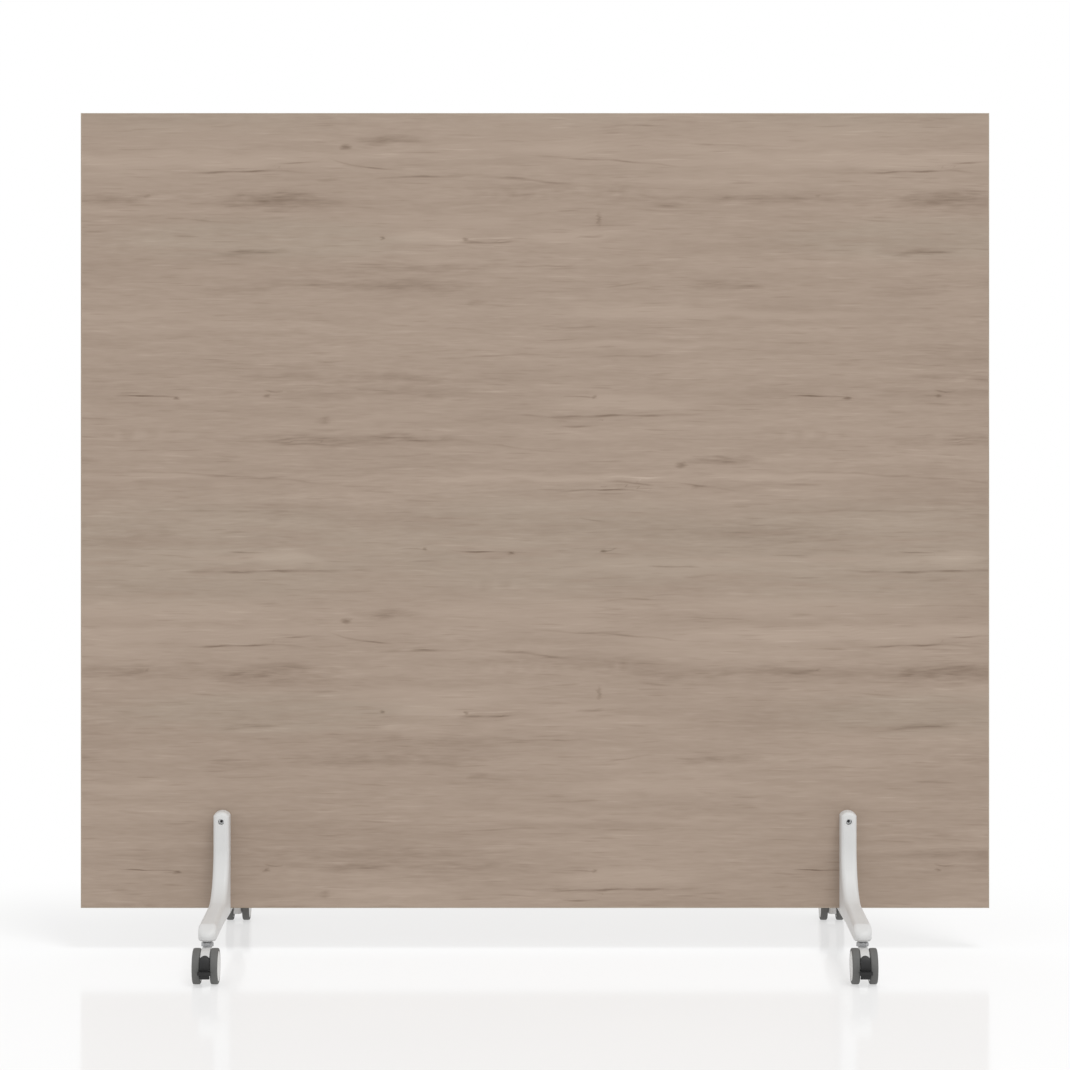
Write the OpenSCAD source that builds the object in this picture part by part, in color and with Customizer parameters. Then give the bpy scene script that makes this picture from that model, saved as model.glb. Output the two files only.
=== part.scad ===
// Mobile room divider: an upright board clamped between two pairs of cast feet on braked casters.
// Millimetres. X runs along the board, the front faces -Y, Z is up and the floor is z = 0.

/* [Board] */
// Width of the board
board_w = 1600; // [1300:10:2400]
// Height of the board itself
board_h = 1400; // [500:10:1900]
// Thickness of the finished board
board_t = 19; // [16:1:28]
// Thickness of each decor laminate
laminate_t = 0.8; // [0.4:0.1:1.5]
// Thickness of the edge bands
band_t = 2; // [1:0.5:3]

/* [Feet] */
// Distance of each foot from the middle of the board
foot_x = 550; // [250:10:570]
// Width of the upright posts
post_w = 28; // [26:1:40]
// Depth of each post in front of the board
post_d = 30; // [26:1:45]
// Height of the posts above the lower edge of the board
post_h = 173; // [160:1:300]
// Radius of the arched top of a post, seen from the front
crown_r = 17; // [15:0.5:40]
// Width of an arm where it carries its caster
arm_end_w = 31; // [30:1:40]
// Height of an arm at the foot of its post
arm_root_h = 38; // [32:1:46]
// Height of an arm above its caster stem
arm_end_h = 27; // [25:1:30]
// Radius of the knee between post and arm
knee_r = 85; // [40:1:95]
// Rounding at the upper tip of an arm
tip_r = 10; // [4:1:12]
// Distance from the middle plane of the board to each caster stem
stem_y = 272; // [230:1:400]
// Thickness of the toe that carries the board
toe_t = 8; // [7:0.5:15]
// Gap between the two toes of a foot
toe_gap = 0.4; // [0.2:0.1:2]

/* [Clamp screws] */
// Distance of the clamp screws below the post tops
clamp_drop = 17; // [14:1:30]
// Thread diameter of the clamp screws
clamp_d = 6; // [5:0.5:6]
// Head diameter of the clamp screws and sleeve nuts
clamp_head_d = 10; // [9.5:0.5:12]
// Head height of the clamp screws and sleeve nuts
clamp_head_h = 6; // [5:0.5:7]
// Depth of the screw heads below the post faces
clamp_sink = 9; // [4:1:12]
// Outer diameter of the sleeve nut barrels
sleeve_d = 8; // [7.5:0.5:8.5]
// Length of thread held by each sleeve nut
sleeve_grip = 14; // [10:1:16]
// Width across flats of the hex sockets
socket_af = 5; // [4:0.5:5]
// Depth of the hex sockets
socket_deep = 3.5; // [2:0.5:4]

/* [Tie plates] */
// Length of the steel plate under each foot
tie_l = 116; // [110:1:180]
// Width of the steel plate
tie_w = 18; // [14:1:20]
// Thickness of the steel plate
tie_t = 3; // [2.5:0.5:4]
// Distance of the inner plate screws from the middle plane
tie_screw_in = 22; // [18:1:26]
// Distance of the outer plate screws from the middle plane
tie_screw_out = 46; // [40:1:48]
// Thread diameter of the plate screws
tie_screw_d = 5; // [4:0.5:6]
// Head diameter of the plate screws
tie_head_d = 9.5; // [9:0.5:11]
// Length of the plate screws
tie_screw_l = 16; // [12:1:18]
// Width across flats of their hex sockets
tie_socket_af = 3; // [2.5:0.5:3.5]
// Depth of those sockets
tie_socket_deep = 1.5; // [1:0.5:2]
// Depth of the tapped holes beyond the ends of their screws
tap_spare = 2; // [1:0.5:2]

/* [Wheels] */
// Diameter of the wheels
wheel_d = 60; // [56:1:80]
// Width of each wheel
wheel_w = 13; // [12:0.5:20]
// Gap between the twin wheels
wheel_gap = 17; // [16:0.5:20]
// Diameter of the hubs inside the tyres
hub_d = 50; // [46:1:50]
// Rounding of the tyre shoulders
shoulder_r = 3; // [1:0.5:3]
// Height of the rib that keeps a tyre on its hub
rib_h = 1; // [0.5:0.1:1.5]
// Width of that rib
rib_w = 4; // [2:0.5:5]
// Wall thickness of the hubs
hub_wall = 2.5; // [2:0.1:3]
// Depth of the dished middle of the hub discs
hub_dish = 0.8; // [0.3:0.1:1]
// Width of the flat ring round the dished middle
hub_ring = 3.5; // [2:0.5:6]
// Chamfer round the outer edge of the hubs, and the set-back of their inner edge
hub_edge = 0.5; // [0.3:0.1:0.8]
// Diameter of the hub sleeves
hub_sleeve_d = 12; // [10:0.5:16]
// Diameter of the wheel axles
axle_d = 6; // [5:0.5:8]
// Depth of the snap groove near each axle end
groove_h = 0.5; // [0.3:0.1:0.8]
// Width of that groove
groove_w = 1.2; // [1:0.1:1.5]

/* [Hoods] */
// Distance from a caster stem to its wheel axle
trail = 24; // [24:0.5:28]
// Gap between the hood and each wheel
hood_gap = 1; // [0.7:0.1:1.5]
// How far the rim of the hood lies inside the treads
hood_inset = 1.5; // [1:0.5:3]
// Height of the flat underside of the hood above the floor
hood_clear = 16; // [12:1:20]
// Distance from the axle to the flat behind the brake pedal
pedal_seat = 14; // [12:0.5:15]
// Rounding of the upper corner over the stem
hood_corner_r = 4; // [1:0.5:6]

/* [Stems] */
// Diameter of the swivel pin
swivel_d = 8; // [7:0.5:8]
// Thread diameter of the stem in the arm
stem_d = 10; // [8:1:12]
// Length of that thread
stem_l = 19; // [14:1:20]
// Width across flats of the hex collar
collar_af = 18; // [17:0.5:19]
// Height of the hex collar
collar_h = 8; // [5:0.5:10]
// Height of the chamfer at the collar's corners
collar_chamfer = 2.2; // [0.5:0.1:3]
// Width of the flat land on the collar round the neck
collar_land = 0.6; // [0.3:0.1:1]
// Diameter of the neck over the collar
neck_d = 13; // [12:0.5:14]
// Height of the neck
neck_h = 1.2; // [0.5:0.1:3]
// Outer diameter of the retaining clip
clip_d = 11; // [10:0.5:11]
// Thickness of the retaining clip
clip_t = 1; // [0.8:0.1:1.2]
// Depth of the clip groove in the pin
clip_groove = 1; // [0.5:0.1:1.2]
// Height of the recess that holds the clip
clip_room = 8; // [6:1:10]
// Length of the pin below the clip
pin_end = 1.5; // [1:0.1:3]

/* [Brake pedals] */
// Gap between the pedal and each wheel
pedal_gap = 0.5; // [0.4:0.1:1]
// Outer radius of the pedal about the wheel axle, beyond the treads
pedal_proud = 2; // [1:0.5:4]
// Thickness of the pedal plate
pedal_t = 4.5; // [3:0.5:5]
// Height of the pedal top above the axle
pedal_up = 20.8; // [19:0.1:22]
// Depth of the pedal's lower end below the axle
pedal_down = 17.3; // [14:0.1:18]
// Radius of the arched pedal top, seen from the front
pedal_crown_r = 9; // [9:0.5:14]
// Distance from the axle to the pedal's pivot, measured along the floor
pivot_out = 8; // [7:0.5:9]
// Distance from the top of the knuckle to the top of the pedal
knuckle_drop = 1; // [0.8:0.1:1.5]
// Radius of the knuckle round the pivot
knuckle_r = 3; // [2.8:0.1:3.5]
// Width of the knuckle
knuckle_w = 7; // [5:0.5:8]
// Diameter of the pivot pin
pedal_pin_d = 3; // [2.5:0.1:3.2]
// Width of the foot tab
tab_w = 21.5; // [18:0.5:30]
// How far the foot tab reaches beyond the treads
tab_reach = 12; // [9:0.5:20]
// Distance of the wide part of the tab from the treads
tab_clear = 3.6; // [3.5:0.1:6]
// Thickness of the foot tab
tab_t = 4.8; // [3:0.1:6]
// Depth of the tab's upper face below the axle
tab_down = 2.8; // [1:0.1:6]

/* [Fits] */
// Radial clearance of shafts and screws in their bores
fit = 0.05; // [0.02:0.01:0.1]
// Radial clearance of screw holes in the castings and the board
hole_gap = 0.3; // [0.2:0.1:0.5]
// Clearance between faces that slide past each other
slide_gap = 0.3; // [0.2:0.05:0.5]

/* [Hidden] */
$fn = 96;
corners = [["front_left", -1, -1], ["front_right", 1, -1], ["rear_left", -1, 1], ["rear_right", 1, 1]];
sides = [["left", -1], ["right", 1]];
board_nodes = ["board_core", "front_laminate", "rear_laminate", "top_band", "bottom_band", "left_band",
    "right_band"];
fastener_nodes = ["left_tie_plate", "right_tie_plate", "tie_plate_screws", "clamp_screws", "sleeve_nuts"];
corner_parts = ["arm", "stem", "stem_clip", "hood", "axle", "outer_tyre", "outer_hub", "inner_tyre",
    "inner_hub", "pedal", "pedal_pin"];
// Heights, counted up from the floor through wheel, hood, collar and neck to the board
wheel_r = wheel_d / 2;
hood_r = wheel_r - hood_inset;
hood_top = wheel_r + hood_r;
collar_z = hood_top + slide_gap;
neck_z = collar_z + collar_h;
arm_z = neck_z + neck_h;
board_z = arm_z + toe_t;
post_top = board_z + post_h;
clamp_z = post_top - clamp_drop;
face_y = board_t / 2;
post_y = face_y + post_d;
// Feet
core_t = board_t - 2 * laminate_t;
side_reach = stem_y + arm_end_w / 2;
arm_slope = atan((arm_root_h - arm_end_h) / (stem_y - post_y));
// The knee's circle touches the post face and the sloping top of the arm
knee_y = post_y + knee_r;
knee_z = arm_z + arm_root_h - knee_r * tan(arm_slope) + knee_r / cos(arm_slope);
seat_y = post_y - clamp_sink - clamp_head_h;
clamp_hole_r = sleeve_d / 2 + hole_gap;
// Front end of the sleeve nuts' barrels, inside the board
sleeve_y = -board_t / 4;
tie_screw_ys = [tie_screw_in, tie_screw_out];
// Casters
hood_w = wheel_gap - 2 * hood_gap;
axle_reach = wheel_gap / 2 + wheel_w - hub_wall - hub_dish - slide_gap;
groove_x = axle_reach - 2 * groove_w;
shoulder_z = hood_clear + clip_room;
clip_z = shoulder_z - slide_gap - clip_t;
clip_bore = swivel_d - 2 * clip_groove;
pin_z = clip_z - pin_end;
// Brake pedals, in a plane with its origin on the axle, u outwards along the floor and w upwards
pedal_w = wheel_gap - 2 * pedal_gap;
pedal_r = wheel_r + pedal_proud;
pivot_up = pedal_up - knuckle_drop - knuckle_r;
tab_end = wheel_r + tab_reach;
tab_start = wheel_r + tab_clear;
// Overlap where shapes join or cut each other, and a length beyond every foot part's own
over = 1;
far = 200;
// Offset that makes two outlines cross instead of grazing each other
hair = 0.05;

// Places a foot's parts: +y leads away from the board, x = 0 is the middle of the foot
module at_foot(c) {
    translate([c[1] * foot_x, 0, 0]) rotate([0, 0, c[2] < 0 ? 180 : 0]) children();
}

// Places a caster's parts: the wheel axle is the x axis, +y leads away from the stem
module at_axle(c) {
    at_foot(c) translate([0, stem_y + trail, wheel_r]) children();
}

// Places the brake pedal's pivot within a caster
module at_pivot() {
    translate([0, pivot_out, pivot_up]) children();
}

// Lays a side view drawn in (y, z) across the width w
module across(w) {
    rotate([90, 0, 90]) translate([0, 0, -w / 2]) linear_extrude(w) children();
}

// A rod along y from y = a to y = b
module rod_y(r, a, b) {
    translate([0, a, 0]) rotate([-90, 0, 0]) cylinder(r = r, h = b - a);
}

// A rod of length l along x, centred on the origin
module rod_x(r, l) {
    rotate([0, 90, 0]) cylinder(r = r, h = l, center = true);
}

// A hexagonal prism along z
module hex_prism(af, h) {
    cylinder(d = af / cos(30), h = h, $fn = 6);
}

// The board as a block between two depths, with its clamp holes
module sheet(y0, y1, inset) {
    difference() {
        translate([-board_w / 2 + inset, y0, board_z + inset])
            cube([board_w - 2 * inset, y1 - y0, board_h - 2 * inset]);
        for (s = sides) translate([s[1] * foot_x, 0, clamp_z]) rod_y(clamp_hole_r, y0 - over, y1 + over);
    }
}

module board_core() {
    color("tan") sheet(-core_t / 2, core_t / 2, band_t);
}

module front_laminate() {
    color([0.64, 0.58, 0.52]) sheet(-face_y, -core_t / 2, band_t);
}

module rear_laminate() {
    color([0.64, 0.58, 0.52]) sheet(core_t / 2, face_y, band_t);
}

// The top and bottom bands lie between the two side bands
module long_band(z) {
    color([0.62, 0.56, 0.49]) translate([-board_w / 2 + band_t, -face_y, z])
        cube([board_w - 2 * band_t, board_t, band_t]);
}

module side_band(x) {
    color([0.62, 0.56, 0.49]) translate([x, -face_y, board_z]) cube([band_t, board_t, board_h]);
}

// Side view of post, knee, arm and toe
module arm_side() {
    difference() {
        union() {
            translate([face_y, arm_z]) square([post_d, post_top - arm_z]);
            translate([toe_gap / 2, arm_z]) square([post_y, toe_t]);
            polygon([[face_y, arm_z], [side_reach + over, arm_z],
                [side_reach + over, arm_top(side_reach + over)],
                [post_y, arm_top(post_y)], [face_y, arm_top(post_y)]]);
            knee_fill();
        }
        tip_cut();
    }
}

// Height of the arm's sloping top at the depth y
function arm_top(y) = arm_z + arm_end_h - (y - stem_y) * tan(arm_slope);

// The web that the knee's circle cuts out of
module knee_fill() {
    knee_end = knee_y - knee_r * sin(arm_slope);
    difference() {
        polygon([[post_y - over, arm_z + toe_t], [knee_end, arm_z + toe_t],
            [knee_end, knee_z - knee_r * cos(arm_slope)], [post_y, knee_z], [post_y - over, knee_z]]);
        translate([knee_y, knee_z]) circle(knee_r);
    }
}

// What is taken off outside the rounded tip, whose circle crosses the sloping top at a flat angle
module tip_cut() {
    y = side_reach + over - tip_r;
    translate([y, arm_top(y) - tip_r / cos(arm_slope) + hair]) difference() {
        square(2 * tip_r);
        circle(tip_r);
    }
}

// Plan view: the post's width at the board, widening to a round end over the stem
module arm_plan() {
    union() {
        polygon([[-post_w / 2, -over], [post_w / 2, -over], [post_w / 2, knee_y],
            [arm_end_w / 2, stem_y], [-arm_end_w / 2, stem_y], [-post_w / 2, knee_y]]);
        translate([0, stem_y]) circle(arm_end_w / 2);
    }
}

// Front view: everything below the arched top, whose circle is wider than the post
module arm_front() {
    r = max(crown_r, post_w / 2 + over);
    translate([-far / 2, 0]) square([far, post_top - r]);
    translate([0, post_top - r]) circle(r);
}

// One cast foot half: it carries the board on its toe and a caster at its end
module arm() {
    color([0.88, 0.88, 0.88]) difference() {
        intersection() {
            across(far) arm_side();
            linear_extrude(post_top + over) arm_plan();
            translate([0, side_reach + over, 0]) rotate([90, 0, 0]) linear_extrude(side_reach + 2 * over)
                arm_front();
        }
        translate([0, 0, clamp_z]) rod_y(clamp_hole_r, 0, post_y + over);
        translate([0, 0, clamp_z]) rod_y(clamp_head_d / 2 + hole_gap, seat_y, post_y + over);
        translate([-tie_w / 2 - hole_gap, -over, arm_z - over])
            cube([tie_w + 2 * hole_gap, tie_l / 2 + hole_gap + over, tie_t + over]);
        for (y = tie_screw_ys) tapped(y, tie_screw_d, tie_screw_l);
        tapped(stem_y, stem_d, stem_l);
    }
}

// Blind hole from below for a thread of diameter d and length l
module tapped(y, d, l) {
    translate([0, y, arm_z - over]) cylinder(d = d + 2 * fit, h = l + tap_spare + over);
}

// Steel plate let into the undersides of both halves of a foot
module tie_plate(x) {
    color("silver") difference() {
        translate([x - tie_w / 2, -tie_l / 2, arm_z]) cube([tie_w, tie_l, tie_t]);
        for (s = [-1, 1]) for (y = tie_screw_ys) translate([x, s * y, arm_z])
            countersunk(tie_screw_d / 2 + hole_gap, tie_head_d / 2 + hole_gap, tie_t, over);
    }
}

// Countersunk screw or hole with a 90 degree head, from z = 0 up to z = h and longer by more at both ends
module countersunk(r, head_r, h, more) {
    rotate_extrude() polygon([[0, -more], [head_r, -more], [head_r, 0], [r, head_r - r],
        [r, h + more], [0, h + more]]);
}

module tie_plate_screws() {
    color("gray") for (f = sides) for (s = [-1, 1]) for (y = tie_screw_ys)
        translate([f[1] * foot_x, s * y, arm_z]) difference() {
            countersunk(tie_screw_d / 2, tie_head_d / 2, tie_screw_l, 0);
            translate([0, 0, -over]) hex_prism(tie_socket_af, tie_socket_deep + over);
        }
}

// Socket head screw from the front into the sleeve nut
module clamp_screws() {
    color("silver") for (s = sides) translate([s[1] * foot_x, 0, clamp_z]) difference() {
        union() {
            rod_y(clamp_head_d / 2, -seat_y - clamp_head_h, -seat_y);
            rod_y(clamp_d / 2, -seat_y, sleeve_y + sleeve_grip);
        }
        socket(-1);
    }
}

// Hex socket in the head that faces front (-1) or rear (1)
module socket(side) {
    rotate([side > 0 ? -90 : 90, 0, 0]) translate([0, 0, seat_y + clamp_head_h - socket_deep])
        hex_prism(socket_af, socket_deep + over);
}

// Barrel nut from the rear, with the same head as the screw
module sleeve_nuts() {
    color("silver") for (s = sides) translate([s[1] * foot_x, 0, clamp_z]) difference() {
        union() {
            rod_y(clamp_head_d / 2, seat_y, seat_y + clamp_head_h);
            rod_y(sleeve_d / 2, sleeve_y, seat_y);
        }
        rod_y(clamp_d / 2 + fit, sleeve_y - over, sleeve_y + sleeve_grip + over);
        socket(1);
    }
}

// Caster stem: swivel pin, hex collar, neck and thread, with a groove for the clip
module stem() {
    color("darkgray") translate([0, stem_y, 0]) {
        difference() {
            union() {
                translate([0, 0, pin_z]) cylinder(d = swivel_d, h = collar_z - pin_z + over);
                collar();
                translate([0, 0, neck_z - over]) cylinder(d = neck_d, h = neck_h + over);
                translate([0, 0, arm_z - over]) cylinder(d = stem_d, h = stem_l + over);
            }
            translate([0, 0, clip_z - fit]) difference() {
                cylinder(d = swivel_d + over, h = clip_t + 2 * fit);
                translate([0, 0, -over]) cylinder(d = clip_bore, h = clip_t + 3 * over);
            }
        }
    }
}

// Hex collar whose corners are chamfered by a cone that leaves a flat land round the neck
module collar() {
    land_r = neck_d / 2 + collar_land;
    corner_run = collar_af / sqrt(3) - land_r;
    translate([0, 0, collar_z]) intersection() {
        hex_prism(collar_af, collar_h);
        cylinder(r1 = land_r + corner_run * collar_h / collar_chamfer, r2 = land_r, h = collar_h);
    }
}

// Open ring in the groove of the pin
module stem_clip() {
    color("dimgray") translate([0, stem_y, clip_z]) difference() {
        cylinder(d = clip_d, h = clip_t);
        translate([0, 0, -over]) cylinder(d = clip_bore + 2 * fit, h = clip_t + 2 * over);
        translate([-clip_bore / 2 - fit, 0, -over]) cube([clip_bore + 2 * fit, clip_d, clip_t + 2 * over]);
    }
}

// Side view of the hood: a disc round the axle with a squared shoulder over the stem
module hood_side() {
    back = -trail - hood_w / 2;
    difference() {
        union() {
            circle(hood_r);
            translate([back, -wheel_r]) square([-back, wheel_r + hood_r - hood_corner_r]);
            translate([back + hood_corner_r, 0]) square([-back - hood_corner_r, hood_r]);
            translate([back + hood_corner_r, hood_r - hood_corner_r]) circle(hood_corner_r);
        }
        translate([-far / 2, -wheel_r - far + hood_clear]) square([far, far]);
    }
}

// Front view of the pedal's outline, grown by g, down to the floor
module pedal_front(g) {
    intersection() {
        translate([-pedal_w / 2 - g, -2 * wheel_r]) square([pedal_w + 2 * g, 2 * wheel_r + pedal_up + g]);
        union() {
            translate([0, pedal_up - pedal_crown_r]) circle(pedal_crown_r + g);
            translate([-pedal_w, -2 * wheel_r])
                square([2 * pedal_w, 2 * wheel_r + pedal_up - pedal_crown_r]);
        }
    }
}

// The swivelling body between the wheels
module hood() {
    color([0.78, 0.78, 0.78]) difference() {
        intersection() {
            across(hood_w) hood_side();
            translate([0, 0, -far / 2]) linear_extrude(far) union() {
                translate([0, -trail]) circle(hood_w / 2);
                translate([-hood_w / 2, -trail]) square([hood_w, trail + wheel_r]);
            }
        }
        translate([0, pedal_seat + far, 0]) rotate([90, 0, 0]) linear_extrude(far) pedal_front(slide_gap);
        across(knuckle_w + 2 * slide_gap) knuckle_room();
        rod_x(axle_d / 2 + fit, far);
        at_pivot() rod_x(pedal_pin_d / 2 + fit, far);
        translate([0, -trail, -wheel_r]) cylinder(d = swivel_d + 2 * fit, h = far);
        translate([0, -trail, -wheel_r - over]) cylinder(d = clip_d + 2 * hole_gap, h = shoulder_z + over);
    }
}

// Side view of the slot in which the knuckle turns
module knuckle_room() {
    room_r = knuckle_r + slide_gap;
    depth = pedal_seat - pivot_out;
    translate([pivot_out, pivot_up]) circle(room_r);
    translate([pivot_out, pivot_up - 2 * knuckle_r]) square([depth + over, 2 * knuckle_r + room_r]);
}

// Wheel axle with a snap groove near each end
module axle() {
    color("silver") difference() {
        rod_x(axle_d / 2, 2 * axle_reach);
        for (s = [-1, 1]) translate([s * groove_x, 0, 0]) difference() {
            rod_x(axle_d / 2 + over, groove_w);
            rod_x(axle_d / 2 - groove_h, groove_w + over);
        }
    }
}

// Turns a wheel profile drawn in (radius, distance from the wheel's inner face) onto the side s of the hood
module wheel_turn(s) {
    rotate([0, s * 90, 0]) translate([0, 0, wheel_gap / 2]) rotate_extrude() children();
}

// Tyre with rounded shoulders and a groove for the hub's rib
module tyre(s) {
    bore = hub_d / 2 + fit;
    color([0.41, 0.41, 0.4]) wheel_turn(s) difference() {
        union() {
            translate([bore, 0]) square([wheel_r - shoulder_r - bore, wheel_w]);
            translate([bore, shoulder_r]) square([wheel_r - bore, wheel_w - 2 * shoulder_r]);
            translate([wheel_r - shoulder_r, shoulder_r]) circle(shoulder_r);
            translate([wheel_r - shoulder_r, wheel_w - shoulder_r]) circle(shoulder_r);
        }
        translate([0, -over]) square([bore, wheel_w + 2 * over]);
        translate([0, (wheel_w - rib_w) / 2 - fit]) square([bore + rib_h, rib_w + 2 * fit]);
    }
}

// Hub with a dished disc outside, a sleeve on the axle and a ridge in the axle's groove
module hub(s) {
    rim = hub_d / 2;
    sleeve = hub_sleeve_d / 2;
    face = -hood_gap + slide_gap;
    disc = wheel_w - hub_wall - hub_dish;
    bore = axle_d / 2 + fit;
    bore_end = disc + slide_gap;
    ridge = groove_x - wheel_gap / 2;
    snap = groove_w / 2 - fit;
    color([0.84, 0.84, 0.83]) wheel_turn(s) union() {
        polygon([[bore, face], [sleeve, face], [sleeve, disc], [rim - hub_wall, disc],
            [rim - hub_wall, hub_edge], [rim, hub_edge], [rim, wheel_w - hub_edge],
            [rim - hub_edge, wheel_w], [rim - hub_ring, wheel_w],
            [rim - hub_ring - hub_dish, wheel_w - hub_dish], [0, wheel_w - hub_dish],
            [0, bore_end], [bore, bore_end]]);
        translate([rim - over, (wheel_w - rib_w) / 2]) square([over + rib_h, rib_w]);
        translate([bore - groove_h, ridge - snap]) square([groove_h + over, 2 * snap]);
    }
}

// Side view of the pedal plate, an arc about the wheel axle
module pedal_side() {
    difference() {
        intersection() {
            circle(pedal_r);
            translate([pivot_out, -pedal_down]) square([pedal_r, pedal_down + pedal_up]);
        }
        circle(pedal_r - pedal_t);
    }
}

// Side view of the knuckle and its arm, which ends inside the plate
module knuckle_side() {
    plate_y = sqrt(pow(pedal_r - pedal_t / 2, 2) - pow(pivot_up + knuckle_r, 2));
    translate([pivot_out, pivot_up]) circle(knuckle_r);
    translate([pivot_out, pivot_up - knuckle_r]) square([plate_y - pivot_out, 2 * knuckle_r]);
}

// Foot tab: narrow between the wheels, wide where it can press on both treads
module tab() {
    root = pedal_r - pedal_t / 2;
    translate([-pedal_w / 2, root, -tab_down - tab_t]) cube([pedal_w, tab_end - root, tab_t]);
    translate([-tab_w / 2, tab_start, -tab_down - tab_t]) cube([tab_w, tab_end - tab_start, tab_t]);
}

// Brake pedal on its knuckle
module pedal() {
    color([0.17, 0.17, 0.17]) difference() {
        union() {
            intersection() {
                across(pedal_w) pedal_side();
                translate([0, far, 0]) rotate([90, 0, 0]) linear_extrude(far) pedal_front(0);
            }
            across(knuckle_w) knuckle_side();
            tab();
        }
        at_pivot() rod_x(pedal_pin_d / 2 + fit, far);
    }
}

module pedal_pin() {
    color("silver") at_pivot() rod_x(pedal_pin_d / 2, hood_w);
}

board_core();
front_laminate();
rear_laminate();
long_band(board_z + board_h - band_t);  // top_band
long_band(board_z);  // bottom_band
side_band(-board_w / 2);  // left_band
side_band(board_w / 2 - band_t);  // right_band
tie_plate(-foot_x);  // left_tie_plate
tie_plate(foot_x);  // right_tie_plate
tie_plate_screws();
clamp_screws();
sleeve_nuts();
for (c = corners) {
    at_foot(c) arm();
    at_foot(c) stem();
    at_foot(c) stem_clip();
    at_axle(c) hood();
    at_axle(c) axle();
    at_axle(c) tyre(c[1] * c[2]);
    at_axle(c) hub(c[1] * c[2]);
    at_axle(c) tyre(-c[1] * c[2]);
    at_axle(c) hub(-c[1] * c[2]);
    at_axle(c) pedal();
    at_axle(c) pedal_pin();
}
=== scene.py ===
import math

import bmesh
import bpy
import numpy as np
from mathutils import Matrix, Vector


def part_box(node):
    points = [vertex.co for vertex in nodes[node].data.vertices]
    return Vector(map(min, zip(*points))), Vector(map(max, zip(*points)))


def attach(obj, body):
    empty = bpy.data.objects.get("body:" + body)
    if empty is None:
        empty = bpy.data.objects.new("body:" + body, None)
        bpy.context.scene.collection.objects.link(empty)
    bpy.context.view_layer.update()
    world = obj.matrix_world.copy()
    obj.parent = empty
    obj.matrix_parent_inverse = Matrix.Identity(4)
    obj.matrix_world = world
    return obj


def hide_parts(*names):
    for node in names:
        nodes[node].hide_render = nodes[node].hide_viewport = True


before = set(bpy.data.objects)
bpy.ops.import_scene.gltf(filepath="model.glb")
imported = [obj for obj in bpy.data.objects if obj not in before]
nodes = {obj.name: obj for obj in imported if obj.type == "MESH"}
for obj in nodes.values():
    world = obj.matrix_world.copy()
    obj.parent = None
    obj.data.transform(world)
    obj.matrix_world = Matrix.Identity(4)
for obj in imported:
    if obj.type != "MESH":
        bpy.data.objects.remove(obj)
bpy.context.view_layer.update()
mm = 0.001


# A grid of points becomes quads between neighbouring rows and columns, and round to the first
# row or column again where the grid is closed that way.
def gridFaces(rows, columns, closeRows, closeColumns, first):
    index = np.arange(rows * columns).reshape(rows, columns) + first
    if closeRows:
        index = np.vstack([index, index[:1]])
    if closeColumns:
        index = np.hstack([index, index[:, :1]])
    return np.stack([index[:-1, :-1], index[1:, :-1], index[1:, 1:], index[:-1, 1:]], -1).reshape(-1, 4)


# All grids of a piece go into one mesh in metres; points on the same spot are merged, the faces
# are turned outwards, and edges sharper than the angle stay crisp.
def meshPiece(name, grids, crispAngle=38):
    points, faces, first = [], [], 0
    for grid, closeRows, closeColumns in grids:
        points.append(grid.reshape(-1, 3))
        faces.append(gridFaces(grid.shape[0], grid.shape[1], closeRows, closeColumns, first))
        first += grid.shape[0] * grid.shape[1]
    mesh = bpy.data.meshes.new(name)
    mesh.from_pydata((np.vstack(points) * mm).tolist(), [], np.vstack(faces).tolist())
    piece = bpy.data.objects.new(name, mesh)
    bpy.context.scene.collection.objects.link(piece)
    work = bmesh.new()
    work.from_mesh(mesh)
    bmesh.ops.remove_doubles(work, verts=work.verts, dist=2e-6)
    bmesh.ops.dissolve_degenerate(work, edges=work.edges, dist=1e-6)
    bmesh.ops.recalc_face_normals(work, faces=work.faces)
    work.to_mesh(mesh)
    work.free()
    mesh.shade_smooth()
    mesh.set_sharp_from_angle(angle=math.radians(crispAngle))
    return piece


# Each corner of a path is cut back on both sides and bridged by a quadratic curve.
def softPath(corners, cuts, steps=5, closed=True):
    points = np.array(corners, float)
    cuts = np.broadcast_to(np.array(cuts, float), (len(points),))[:, None]
    back = np.roll(points, 1, 0) - points
    ahead = np.roll(points, -1, 0) - points
    backLength = np.linalg.norm(back, axis=1, keepdims=True)
    aheadLength = np.linalg.norm(ahead, axis=1, keepdims=True)
    start = points + back / backLength * np.minimum(cuts, 0.48 * backLength)
    end = points + ahead / aheadLength * np.minimum(cuts, 0.48 * aheadLength)
    if not closed:
        start[[0, -1]] = points[[0, -1]]
        end[[0, -1]] = points[[0, -1]]
    t = np.linspace(0, 1, steps)[None, :, None]
    curve = (1 - t) ** 2 * start[:, None] + 2 * t * (1 - t) * points[:, None] + t ** 2 * end[:, None]
    return curve.reshape(-1, 2)


# A profile of (radius, distance along x) turned about an axis along x through the centre.
def turned(profile, centre, steps=96):
    angle = np.arange(steps) / steps * 2 * np.pi
    radius, along = profile[:, 0][:, None], profile[:, 1][:, None]
    return np.stack([centre[0] + along + 0 * angle, centre[1] + radius * np.cos(angle),
                     centre[2] + radius * np.sin(angle)], -1)


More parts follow.
